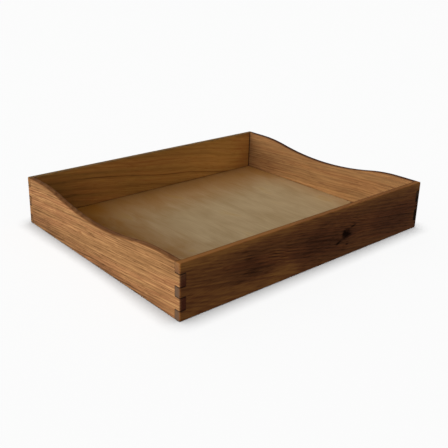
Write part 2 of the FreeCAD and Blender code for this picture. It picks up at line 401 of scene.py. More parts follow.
class OakBoard(Graph):
    """The oak of one board, worked up from its place in the log to the oil on its faces.

    Levels of lightness run from 0, the deepest wood, to 1, the palest. A knot goes below 0.
    """

    def __init__(
        self, name: str, oak: OiledOak, plank: Plank, joint: Joint, centre: Vector
    ) -> None:
        """Finds where every point lies, on the board and in the log.

        Args:
            name: the material's name.
            oak: the finish.
            plank: the board's colours, place in the log and marks.
            joint: the lines of its finger joints.
            centre: the board's middle, in metres.
        """
        super().__init__(name)
        self.oak = oak
        self.plank = plank
        self.joint = joint
        self.board = self.add(
            "Mapping",
            {
                "Vector": self.add("TexCoord", {}, out="Object"),
                "Location": centre,
                "Rotation": (0, 0, math.radians(plank.side.value)),
                "Scale": (MM, MM, MM),
            },
            vector_type="TEXTURE",
        )
        self.grain = self._along_the_log()
        self.fibre = self._streaks(self.grain, oak.fibre_length_mm, oak.fibre_mm, 3.0)
        self.pores = self._pores()

    def work_up(self) -> bpy.types.Material:
        """Works the wood up from its tone to its oil.

        Returns:
            The finished material.
        """
        oak, plank = self.oak, self.plank
        rings, radius = self._rings()
        level = self._tone(rings)
        blush = self._streaks(self.grain, oak.blush_length_mm, oak.blush_mm, 2.0)
        for cloud in plank.clouds:
            oval = self._oval(cloud.patch, cloud.ragged_mm)
            level = self.add("Math", {0: oval, 1: cloud.lift, 2: level}, operation="MULTIPLY_ADD")
            redder = oak.cloud_blush * cloud.blush
            blush = self.add("Math", {0: oval, 1: redder, 2: blush}, operation="MULTIPLY_ADD")
        for curl in plank.curls:
            level = self._add_curl(curl, level)
        if plank.ring:
            level = self._draw_ring(plank.ring, radius, level)
        if plank.knot:
            level = self._darken_knot(plank.knot, level)
        colour = self._colour(level, blush)
        colour = self._paint_rim_shade_and_wear(colour)
        colour = self._darken_end_grain(colour)
        colour = self._draw_joint(colour)
        self._oil(colour)
        return self.material

    def _streaks(self, place: Socket, length_mm: float, width_mm: float, detail: float) -> Socket:
        """Makes noise that runs long along the grain and short across it.

        Args:
            place: the position that it follows, in mm, with the grain along its X.
            length_mm: size of a streak along the grain.
            width_mm: size of a streak across the grain.
            detail: how many finer octaves it has.

        Returns:
            A value about 0.5.
        """
        scale = (1 / length_mm, 1 / width_mm, 1 / width_mm)
        scaled = self.add("VectorMath", {0: place, 1: scale}, operation="MULTIPLY")
        noise = {"Vector": scaled, "Scale": 1.0, "Detail": detail, "Roughness": 0.6}
        return self.add("TexNoise", noise)

    def _wander(
        self, size_mm: tuple[float, float, float], reach_mm: tuple[float, float, float]
    ) -> Socket:
        """Moves the board's positions about by smooth noise.

        Args:
            size_mm: size of the noise along each axis.
            reach_mm: the range it moves over on each axis.

        Returns:
            The moved position.
        """
        scale = tuple(1 / size for size in size_mm)
        slow = self.add("VectorMath", {0: self.board, 1: scale}, operation="MULTIPLY")
        noise = self.add("TexNoise", {"Vector": slow, "Scale": 1.0, "Detail": 2.0}, out="Color")
        about_zero = self.add("VectorMath", {0: noise, 1: (0.5, 0.5, 0.5)}, operation="SUBTRACT")
        moved = {0: about_zero, 1: reach_mm, 2: self.board}
        return self.add("VectorMath", moved, operation="MULTIPLY_ADD")

    def _in_patch(self, place: Socket, patch: Patch) -> Socket:
        """Measures a position from a patch's middle, in units of its own half size.

        Args:
            place: the position on the board, in mm.
            patch: the patch.

        Returns:
            The position, without its depth into the board.
        """
        middle = (patch.along_mm, 0, patch.up_mm)
        offset = self.add("VectorMath", {0: place, 1: middle}, operation="SUBTRACT")
        turn = math.atan(patch.slope)
        measured = {}
        for axis, across, up, half_mm in (
            ("X", math.cos(turn), math.sin(turn), patch.long_mm),
            ("Z", -math.sin(turn), math.cos(turn), patch.tall_mm),
        ):
            direction = (across / half_mm, 0, up / half_mm)
            measured[axis] = self.add(
                "VectorMath", {0: offset, 1: direction}, out="Value", operation="DOT_PRODUCT"
            )
        return self.add("CombineXYZ", measured)

    def _oval(self, patch: Patch, ragged_mm: float = 0.0) -> Socket:
        """Makes a soft oval that goes right through the board.

        Args:
            patch: where the oval lies and how large it is.
            ragged_mm: how far its edge wanders.

        Returns:
            1 at the oval's middle, falling smoothly to 0 outside it.
        """
        place = self.board
        if ragged_mm:
            reach = (self.oak.ragged_stretch * ragged_mm, 0, ragged_mm)
            place = self._wander(self.oak.ragged_size_mm, reach)
        unit = self._in_patch(place, patch)
        square = self.add("VectorMath", {0: unit, 1: unit}, out="Value", operation="DOT_PRODUCT")
        falling = self.add("Math", {0: square, 1: -1.0}, operation="MULTIPLY")
        return self.add("Math", {0: falling}, operation="EXPONENT")

    def _along_the_log(self) -> Socket:
        """Finds where in the log a point lies; knots and slow growth bend its fibres.

        Returns:
            The position along the log, and in and up from its pith, in mm.
        """
        log, knot = self.plank.log, self.plank.knot
        reach = 2 * log.wander_mm
        place = self._wander(self.oak.wander_size_mm, (0, reach, reach))
        if knot:
            unit = self._in_patch(self.board, knot.heart)
            swell = (0, 0, -knot.swell_mm)
            push = self.add("VectorMath", {0: unit, 1: swell}, operation="MULTIPLY")
            near = {0: push, "Scale": self._oval(knot.heart)}
            aside = self.add("VectorMath", near, operation="SCALE")
            place = self.add("VectorMath", {0: place, 1: aside}, operation="ADD")
        along = self.add("SeparateXYZ", {0: self.board}, out="X")
        pith = {}
        for axis, drift, start_mm in (
            ("Y", log.drift_in, log.pith_in_mm),
            ("Z", log.drift_up, log.pith_up_mm),
        ):
            leaning = {0: along, 1: drift, 2: start_mm}
            pith[axis] = self.add("Math", leaning, operation="MULTIPLY_ADD")
        return self.add(
            "VectorMath", {0: place, 1: self.add("CombineXYZ", pith)}, operation="SUBTRACT"
        )

    def _rings(self) -> tuple[Socket, Socket]:
        """Counts growth rings outwards, wide in some years and narrow in others.

        Returns:
            The ring number, whose fraction runs from early wood to late wood, and the distance
            from the pith, in mm.
        """
        across = self.add("VectorMath", {0: self.grain, 1: (0, 1, 1)}, operation="MULTIPLY")
        radius = self.add("VectorMath", {0: across}, out="Value", operation="LENGTH")
        even = self.add("Math", {0: radius, 1: self.plank.log.ring_mm}, operation="DIVIDE")
        years = {"W": even, "Scale": self.oak.weather_scale, "Detail": 1.0}
        weather = self.add("TexNoise", years, noise_dimensions="1D")
        counted = {0: weather, 1: self.oak.weather_rings, 2: even}
        return self.add("Math", counted, operation="MULTIPLY_ADD"), radius

    def _pores(self) -> Socket:
        """Scatters open pores: dashes along the face, dots on the end grain.

        Returns:
            1 in a pore and 0 between pores.
        """
        noise = self._streaks(self.grain, self.oak.pore_length_mm, self.oak.pore_mm, 1.0)
        begins, full = self.oak.pore_range
        return self.add(
            "MapRange",
            {"Value": noise, "From Min": begins, "From Max": full},
            interpolation_type="SMOOTHSTEP",
        )

    def _tone(self, rings: Socket) -> Socket:
        """Adds up everything that makes the wood lighter or darker.

        Args:
            rings: the ring number.

        Returns:
            The level of lightness.
        """
        oak, figure = self.oak, self.plank.figure
        ring = self.add("Math", {0: rings}, operation="FLOOR")
        season = self.add("Math", {0: rings}, operation="FRACT")
        ring_tone = self.add("TexWhiteNoise", {"W": ring}, noise_dimensions="1D")
        begins, full = oak.late_wood_range
        late = self.add(
            "MapRange",
            {"Value": season, "From Min": begins, "From Max": full},
            interpolation_type="SMOOTHSTEP",
        )
        spring = self.add(
            "MapRange",
            {"Value": season, "From Min": full, "From Max": 1.0, "To Min": 1.0, "To Max": 0.0},
            interpolation_type="SMOOTHSTEP",
        )
        late = self.add("Math", {0: late, 1: spring}, operation="MULTIPLY")
        fleck = self._streaks(self.grain, oak.fleck_length_mm, oak.fleck_mm, 1.0)
        bands = self._streaks(self.grain, oak.band_length_mm, oak.band_mm, 2.0)
        shade = figure * oak.late_wood_strength
        # late wood fills about 0.4 of a ring, so this keeps the middle tone in the middle
        middle = 0.5 + 0.4 * shade
        level = self.add("Math", {0: late, 1: -shade, 2: middle}, operation="MULTIPLY_ADD")
        for value, strength in (
            (ring_tone, figure * oak.ring_strength),
            (self.fibre, figure * oak.fibre_strength),
            (fleck, figure * oak.fleck_strength),
            (bands, self.plank.mottle),
        ):
            about_zero = self.add("Math", {0: value, 1: 0.5}, operation="SUBTRACT")
            added = {0: about_zero, 1: 2 * strength, 2: level}
            level = self.add("Math", added, operation="MULTIPLY_ADD")
        sunk = {0: self.pores, 1: -figure * oak.pore_strength, 2: level}
        return self.add("Math", sunk, operation="MULTIPLY_ADD")

    def _add_curl(self, curl: Curl, level: Socket) -> Socket:
        """Lays ripples of curly figure over a patch.

        Args:
            curl: the patch.
            level: the lightness so far.

        Returns:
            The lightness with the ripples.
        """
        patch = self._oval(curl.patch, curl.ragged_mm)
        turn = 2 * math.pi / curl.ripple_mm
        climb = (-curl.slope * turn, 0, turn)
        slanted = self.add(
            "VectorMath", {0: self.board, 1: climb}, out="Value", operation="DOT_PRODUCT"
        )
        noise = self._streaks(self.board, curl.bend_length_mm, curl.bend_width_mm, 1.0)
        bent = self.add("Math", {0: noise, 1: curl.bend, 2: slanted}, operation="MULTIPLY_ADD")
        wave = self.add("Math", {0: bent}, operation="SINE")
        ripple = self.add("Math", {0: wave, 1: patch}, operation="MULTIPLY")
        return self.add("Math", {0: ripple, 1: curl.strength, 2: level}, operation="MULTIPLY_ADD")

    def _draw_ring(self, ring: ProudRing, radius: Socket, level: Socket) -> Socket:
        """Draws the ring that stands out, with a paler band inside it.

        Args:
            ring: the ring.
            radius: the distance from the pith, in mm.
            level: the lightness so far.

        Returns:
            The lightness with the ring.
        """
        plain = level
        pale_mm = ring.pale_widths * ring.width_mm
        for at_mm, half_mm, lift in (
            (ring.radius_mm, ring.width_mm, -ring.depth),
            (ring.radius_mm - pale_mm, pale_mm, ring.pale_share * ring.depth),
        ):
            outwards = self.add("Math", {0: radius, 1: at_mm}, operation="SUBTRACT")
            distance = self.add("Math", {0: outwards}, operation="ABSOLUTE")
            line = self._line(distance, half_mm)
            level = self.add("Math", {0: line, 1: lift, 2: level}, operation="MULTIPLY_ADD")
        along = self.add("SeparateXYZ", {0: self.board}, out="X")
        gone = ring.fade_from_mm + ring.fade_mm
        faded = self.add(
            "MapRange",
            {"Value": along, "From Min": ring.fade_from_mm, "From Max": gone},
            interpolation_type="SMOOTHSTEP",
        )
        return self.add("Mix", {0: faded, 2: level, 3: plain}, out=0, data_type="FLOAT")

    def _darken_knot(self, knot: Knot, level: Socket) -> Socket:
        """Darkens the knot's heart and the blotches beside it, with ragged edges.

        Args:
            knot: the knot.
            level: the lightness so far.

        Returns:
            The lightness with the knot.
        """
        dark_wood = self._oval(knot.heart, knot.ragged_mm)
        for blotch in knot.blotches:
            added = {0: self._oval(blotch, knot.ragged_mm), 1: knot.blotch_weight, 2: dark_wood}
            dark_wood = self.add("Math", added, operation="MULTIPLY_ADD")
        crumbs = self._streaks(self.board, knot.crumb_length_mm, knot.crumb_mm, 3.0)
        broken = self.add("Math", {0: crumbs, 1: dark_wood}, operation="MULTIPLY")
        begins, full = knot.dark_range
        dark = self.add(
            "MapRange",
            {"Value": broken, "From Min": begins, "From Max": full, "To Max": knot.depth},
            interpolation_type="SMOOTHSTEP",
        )
        return self.add("Math", {0: level, 1: dark}, operation="SUBTRACT")

    def _colour(self, level: Socket, blush: Socket) -> Socket:
        """Turns the lightness into the oiled wood's colours.

        Args:
            level: the lightness.
            blush: how near the wood is to turning red.

        Returns:
            The colour.
        """
        oak, plank = self.oak, self.plank
        black, low, high = (
            self.add("MapRange", {"Value": level, "From Min": start, "From Max": end})
            for start, end in ((-oak.heart_depth, 0.0), (0.0, 0.5), (0.5, 1.0))
        )
        begins, full = oak.blush_range
        red = self.add(
            "MapRange",
            {"Value": blush, "From Min": begins, "From Max": full, "To Max": oak.blush_share},
            interpolation_type="SMOOTHSTEP",
        )
        body, redder = linear(plank.body_hex), linear(plank.red_hex)
        colour = self.add("Mix", {0: red, 6: body, 7: redder}, out=2, data_type="RGBA")
        for share, deeper, paler in (
            (low, linear(plank.deep_hex), None),
            (high, None, linear(plank.pale_hex)),
            (black, linear(oak.knot_hex), None),
        ):
            ends = {6: deeper or colour, 7: paler or colour}
            colour = self.add("Mix", {0: share, **ends}, out=2, data_type="RGBA")
        return colour

    def _paint_rim_shade_and_wear(self, colour: Socket) -> Socket:
        """Darkens the rim and one of its edges with painted shade, where the light falls weakly, and
        with the wear of hands and dust.

        Args:
            colour: the colour so far.

        Returns:
            The colour with a dark rim.
        """
        oak, plank, inner_face = self.oak, self.plank, self.joint.inner_face_mm
        normal = self.add("TexCoord", {}, out="Normal")
        upwards = self.add("SeparateXYZ", {0: normal}, out="Z")
        # faces that turn up take the rim's colour: painted shade on the weakly lit tops, with wear
        # between the fibres
        begins, full = oak.rim_turn
        rim = self.add(
            "MapRange",
            {"Value": upwards, "From Min": begins, "From Max": full},
            interpolation_type="SMOOTHSTEP",
        )
        begins, full = oak.rim_fibres
        fibre_gap_share = oak.rim_fibre_gap_share * plank.rim_share
        rim_shade_and_wear = self.add(
            "MapRange",
            {
                "Value": self.fibre,
                "From Min": begins,
                "From Max": full,
                "To Min": fibre_gap_share,
                "To Max": plank.rim_share,
            },
        )
        # painted shade along the rim's edge that faces away from the light
        to_dark_edge = self.add(
            "VectorMath",
            {0: self.board, 1: (0, plank.dark_arris.value, 0)},
            out="Value",
            operation="DOT_PRODUCT",
        )
        arris = self.add(
            "MapRange",
            {
                "Value": to_dark_edge,
                "From Min": inner_face - plank.arris_mm,
                "From Max": inner_face - oak.arris_full_share * plank.arris_mm,
                "To Max": plank.arris_share,
            },
            interpolation_type="SMOOTHSTEP",
        )
        for shown, hex_colour in ((rim_shade_and_wear, plank.rim_hex), (arris, oak.arris_hex)):
            share = self.add("Math", {0: rim, 1: shown}, operation="MULTIPLY")
            over = {0: share, 6: colour, 7: linear(hex_colour)}
            colour = self.add("Mix", over, out=2, data_type="RGBA")
        return colour

    def _darken_end_grain(self, colour: Socket) -> Socket:
        """Darkens the wood where it is cut across the grain, at the ends of the fingers.

        Args:
            colour: the colour so far.

        Returns:
            The colour with dark end grain.
        """
        oak, plank = self.oak, self.plank
        normal = self.add("TexCoord", {}, out="Normal")
        turn = math.radians(plank.side.value)
        grain = (math.cos(turn), math.sin(turn), 0)
        facing = self.add("VectorMath", {0: normal, 1: grain}, out="Value", operation="DOT_PRODUCT")
        either_way = self.add("Math", {0: facing}, operation="ABSOLUTE")
        begins, full = oak.end_turn
        share = self.add(
            "MapRange",
            {"Value": either_way, "From Min": begins, "From Max": full, "To Max": plank.end_share},
            interpolation_type="SMOOTHSTEP",
        )
        to_corner = self.add(
            "VectorMath", {0: self.board, 1: (0, -1, 0)}, out="Value", operation="DOT_PRODUCT"
        )
        height = self.add("SeparateXYZ", {0: self.board}, out="Z")
        for value, (begins, full), first, last in (
            (self.fibre, oak.end_fibres, oak.end_speck_share, 1.0),
            (to_corner, (0.0, oak.corner_mm), 1.0, oak.corner_share),
            (height, oak.handled_mm, 1.0, oak.handled_share),
        ):
            limits = {"From Min": begins, "From Max": full, "To Min": first, "To Max": last}
            left = self.add("MapRange", {"Value": value, **limits})
            share = self.add("Math", {0: share, 1: left}, operation="MULTIPLY")
        over = {0: share, 6: colour, 7: linear(plank.end_hex)}
        return self.add("Mix", over, out=2, data_type="RGBA")

    def _draw_joint(self, colour: Socket) -> Socket:
        """Draws the dark lines round the fingers and above the base, wider than they are; inside the
        tray they are painted shade in the corners as well as dark seams.

        Args:
            colour: the colour so far.

        Returns:
            The colour with the lines.
        """
        oak, joint = self.oak, self.joint
        along, depth, height = (
            self.add("SeparateXYZ", {0: self.board}, out=axis) for axis in ("X", "Y", "Z")
        )
        from_middle = self.add("Math", {0: along}, operation="ABSOLUTE")
        past_shoulder = self.add(
            "Math", {0: from_middle, 1: joint.shoulder_mm}, operation="SUBTRACT"
        )
        above_base = self.add("Math", {0: height, 1: joint.base_top_mm}, operation="SUBTRACT")
        shoulder_gap = self.add("Math", {0: past_shoulder}, operation="ABSOLUTE")
        base_gap = self.add("Math", {0: above_base}, operation="ABSOLUTE")
        level_gap, neighbour = self._across_fingers(height)

        in_joint = self.add("Math", {0: past_shoulder, 1: 0.0}, operation="GREATER_THAN")
        # a tenth of a millimetre inwards of the inner face, so that rounding can't lose it
        almost_inside = joint.inner_face_mm - 0.1
        inside = self.add("Math", {0: depth, 1: almost_inside}, operation="GREATER_THAN")
        line = 0.0
        # inside the tray the lines are dark seams together with painted shade along the corners and
        # the base
        for gap, where, width, share in (
            (level_gap, in_joint, 1.0, 1.0),
            (shoulder_gap, neighbour, oak.shoulder_line, 1.0),
            (shoulder_gap, inside, oak.inside_line, 1.0),
            (base_gap, inside, oak.inside_line, self.plank.base_line_share),
        ):
            drawn = self._line(gap, width * oak.joint_line_mm)
            drawn = self.add("Math", {0: drawn, 1: where}, operation="MULTIPLY")
            drawn = self.add("Math", {0: drawn, 1: share}, operation="MULTIPLY")
            line = self.add("Math", {0: drawn, 1: line}, operation="MAXIMUM")
        shown = self.add("Math", {0: line, 1: oak.line_share}, operation="MULTIPLY")
        over = {0: shown, 6: colour, 7: linear(oak.joint_hex)}
        return self.add("Mix", over, out=2, data_type="RGBA")

    def _across_fingers(self, height: Socket) -> tuple[Socket, Socket]:
        """Finds where the faces between fingers are, going up the joint.

        Args:
            height: the height from the board's middle, in mm.

        Returns:
            The distance to the nearest such face, and 1 at the height of a neighbour's finger.
        """
        nearest, crossed = FAR_MM, 0.0
        for level in self.joint.levels_mm:
            above = self.add("Math", {0: height, 1: level}, operation="SUBTRACT")
            gap = self.add("Math", {0: above}, operation="ABSOLUTE")
            nearest = self.add("Math", {0: gap, 1: nearest}, operation="MINIMUM")
            passed = self.add("Math", {0: above, 1: 0.0}, operation="GREATER_THAN")
            crossed = self.add("Math", {0: passed, 1: crossed}, operation="ADD")
        neighbour = self.add("Math", {0: crossed, 1: 2.0}, operation="MODULO")
        if not self.plank.side.carries_end_fingers:
            neighbour = self.add("Math", {0: 1.0, 1: neighbour}, operation="SUBTRACT")
        return nearest, neighbour

    def _line(self, distance: Socket, half_width: float) -> Socket:
        """Turns a distance into a soft line.

        Args:
            distance: distance from the line's middle, in mm.
            half_width: where the line ends, in mm from its middle.

        Returns:
            1 on the line, 0 beyond it.
        """
        limits = {"From Min": 0.0, "From Max": half_width, "To Min": 1.0, "To Max": 0.0}
        return self.add(
            "MapRange", {"Value": distance, **limits}, interpolation_type="SMOOTHSTEP"
        )

    def _oil(self, colour: Socket) -> None:
        """Lays the oil's satin over the wood and presses the pores into it.

        Args:
            colour: the wood's colour.
        """
        oak = self.oak
        brightness = self.add("RGBToBW", {0: colour})
        dulled = {"From Min": 0.0, "From Max": oak.dull_below, "To Max": oak.gloss}
        gloss = self.add("MapRange", {"Value": brightness, **dulled})
        rougher = {0: self.pores, 1: oak.pore_roughness, 2: oak.roughness}
        grain = self.add("Math", {0: self.fibre, 1: 0.5}, operation="MULTIPLY")
        height = self.add("Math", {0: grain, 1: self.pores}, operation="SUBTRACT")
        relief = {"Height": height, "Distance": oak.relief_mm * MM, "Strength": 0.8}
        shader = self.add(
            "BsdfPrincipled",
            {
                "Base Color": colour,
                "Roughness": self.add("Math", rougher, operation="MULTIPLY_ADD"),
                "Normal": self.add("Bump", relief),
                "IOR": oak.ior,
                "Specular IOR Level": gloss,
            },
        )
        self.add("OutputMaterial", {"Surface": shader})


@dataclass
class BoxFrame:
    """The four oak boards: sawn from different places in the log, jointed at the corners."""

    oak: OiledOak = OiledOak()
    front_board: Plank = Plank(
        side=Side.FRONT,
        pale_hex="#a86f34",
        body_hex="#814e25",
        deep_hex="#4a2409",
        red_hex="#743919",
        end_hex="#5a4a3c",
        log=LogPlace(
            pith_in_mm=70.0,
            pith_up_mm=-60.0,
            drift_in=0.05,
            drift_up=-0.11,
            ring_mm=2.2,
            wander_mm=3.0,
        ),
        rim_hex="#82532a",
        figure=0.95,
        mottle=0.26,
        rim_share=0.5,
        knot=Knot(
            heart=Patch(along_mm=45.5, up_mm=-3.0, long_mm=6.0, tall_mm=4.8, slope=0.2),
            blotches=(
                Patch(along_mm=56.0, up_mm=3.5, long_mm=5.0, tall_mm=1.8, slope=0.3),
                Patch(along_mm=32.5, up_mm=-9.5, long_mm=6.0, tall_mm=2.2, slope=0.3),
                Patch(along_mm=45.0, up_mm=-14.0, long_mm=2.5, tall_mm=1.6),
            ),
            swell_mm=4.0,
        ),
        curls=(
            Curl(Patch(along_mm=-52.0, up_mm=3.0, long_mm=16.0, tall_mm=9.0)),
            Curl(Patch(along_mm=60.0, up_mm=7.0, long_mm=13.0, tall_mm=6.0)),
            Curl(
                Patch(along_mm=-135.0, up_mm=-10.0, long_mm=34.0, tall_mm=14.0),
                ripple_mm=2.4,
                slope=0.3,
                strength=0.12,
            ),
        ),
        clouds=(
            Cloud(Patch(along_mm=-84.0, up_mm=0.0, long_mm=20.0, tall_mm=15.0), -0.32, 0.3),
            Cloud(Patch(along_mm=0.0, up_mm=-2.0, long_mm=40.0, tall_mm=16.0), -0.4, 0.5),
            Cloud(Patch(along_mm=46.0, up_mm=-3.0, long_mm=20.0, tall_mm=10.0, slope=0.4), -0.2),
            Cloud(Patch(along_mm=125.0, up_mm=-6.0, long_mm=46.0, tall_mm=14.0), -0.36, 0.6),
            # these three lighter strips along the top edge are painted highlight, where the key light
            # catches the top
            Cloud(Patch(along_mm=-125.0, up_mm=26.5, long_mm=90.0, tall_mm=6.0), 0.5),
            Cloud(Patch(along_mm=0.0, up_mm=26.5, long_mm=150.0, tall_mm=4.0), 0.25),
            Cloud(Patch(along_mm=162.0, up_mm=26.0, long_mm=26.0, tall_mm=7.0), 0.35),
            Cloud(Patch(along_mm=171.0, up_mm=-5.0, long_mm=4.0, tall_mm=19.0), -1.0, ragged_mm=1.0),
            Cloud(Patch(along_mm=-115.0, up_mm=-20.0, long_mm=62.0, tall_mm=7.0), 0.3, 0.3),
            Cloud(Patch(along_mm=-44.0, up_mm=-15.0, long_mm=22.0, tall_mm=9.0), 0.3),
            Cloud(Patch(along_mm=-145.0, up_mm=8.0, long_mm=30.0, tall_mm=16.0), 0.12),
        ),
    )
    back_board: Plank = Plank(
        side=Side.BACK,
        pale_hex="#b9843f",
        body_hex="#94662d",
        deep_hex="#5e3912",
        red_hex="#8d5123",
        end_hex="#6b4a2c",
        log=LogPlace(
            pith_in_mm=-25.0, pith_up_mm=-160.0, drift_up=0.147, ring_mm=7.0, wander_mm=5.0
        ),
        rim_hex="#644e2d",
        dark_arris=Arris.OUTER,
        arris_share=0.25,
        figure=0.6,
        mottle=0.28,
        ring=ProudRing(radius_mm=160.0, width_mm=1.1, depth=0.5, fade_from_mm=90.0),
        clouds=(
            Cloud(Patch(along_mm=150.0, up_mm=-8.0, long_mm=44.0, tall_mm=26.0), -0.34),
            Cloud(Patch(along_mm=-120.0, up_mm=2.0, long_mm=85.0, tall_mm=30.0), 0.3),
            Cloud(Patch(along_mm=-155.0, up_mm=0.0, long_mm=16.0, tall_mm=40.0), -0.1, 0.8),
        ),
    )
    left_side_board: Plank = Plank(
        side=Side.LEFT,
        pale_hex="#c4935f",
        body_hex="#956a40",
        deep_hex="#5f3d20",
        red_hex="#975f3c",
        end_hex="#5a2410",
        log=LogPlace(
            pith_in_mm=30.0, pith_up_mm=-190.0, drift_up=0.08, ring_mm=2.3, wander_mm=2.5
        ),
        figure=1.25,
        mottle=0.15,
        end_share=1.0,
        rim_share=0.6,
        clouds=(
            Cloud(Patch(along_mm=-110.0, up_mm=-16.0, long_mm=50.0, tall_mm=14.0), -0.2),
            Cloud(Patch(along_mm=20.0, up_mm=-24.0, long_mm=130.0, tall_mm=7.0), -0.3, 0.2),
        ),
    )
    right_side_board: Plank = Plank(
        side=Side.RIGHT,
        pale_hex="#a97e4c",
        body_hex="#866039",
        deep_hex="#58361a",
        red_hex="#80512d",
        end_hex="#140a06",
        log=LogPlace(
            pith_in_mm=-40.0, pith_up_mm=-150.0, drift_up=-0.045, ring_mm=3.2, wander_mm=3.0
        ),
        rim_hex="#6a4020",
        # this rim's outer edge, away from the light, carries strong painted shade
        dark_arris=Arris.OUTER,
        arris_share=1.0,
        arris_mm=6.0,
        base_line_share=0.35,
        figure=0.85,
        mottle=0.16,
        end_share=1.0,
        clouds=(
            Cloud(Patch(along_mm=90.0, up_mm=-5.0, long_mm=34.0, tall_mm=15.0), -0.14, 0.5),
            Cloud(Patch(along_mm=10.0, up_mm=-19.0, long_mm=85.0, tall_mm=4.0), 0.22, 0.5),
        ),
    )

    def finger_levels(self) -> list[float]:
        """Finds the heights at which one board's fingers end and its neighbour's begin.

        Returns:
            The heights of the level faces in the front board's joint, in metres, going up.
        """
        low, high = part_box("front_board")
        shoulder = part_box("right_side_board")[0].x
        nearly_level = 0.99
        levels = {
            round(polygon.center.z, 5)
            for polygon in frame["nodes"]["front_board"].data.polygons
            if abs(polygon.normal.z) > nearly_level
            and low.z + MM < polygon.center.z < high.z - MM
            and abs(polygon.center.x) > shoulder
        }
        return sorted(levels)

    def dress(self) -> None:
        """Gives each board its own oak."""
        levels = self.finger_levels()
        low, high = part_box("front_board")
        thickness = (high - low).y
        base_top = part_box("base_face_ply")[1].z
        for node in ("front_board", "back_board", "left_side_board", "right_side_board"):
            low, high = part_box(node)
            centre = (low + high) / 2
            length = max((high - low).x, (high - low).y)
            joint = Joint(
                levels_mm=tuple((level - centre.z) / MM for level in levels),
                shoulder_mm=(length / 2 - thickness) / MM,
                base_top_mm=(base_top - centre.z) / MM,
                inner_face_mm=thickness / 2 / MM,
            )
            wood = OakBoard(f"oiled_oak_{node}", self.oak, getattr(self, node), joint, centre)
            dress_node(node, wood.work_up())


# ------------------------------------------------------------------------------------ plywood base


class Grain(Enum):
    """Which way a veneer's grain runs: the turn about Z from the tray's length, in degrees."""

    FRONT_TO_BACK = 90
    SIDE_TO_SIDE = 0


@dataclass(frozen=True)
class WallShade:
    """Painted shade along one wall of the base, warm as with light bounced off the oak.

    Attributes:
        side: the wall.
        width_mm: how far it reaches over the base.
        share: how strong it is at the wall.
    """

    side: Side
    width_mm: float
    share: float


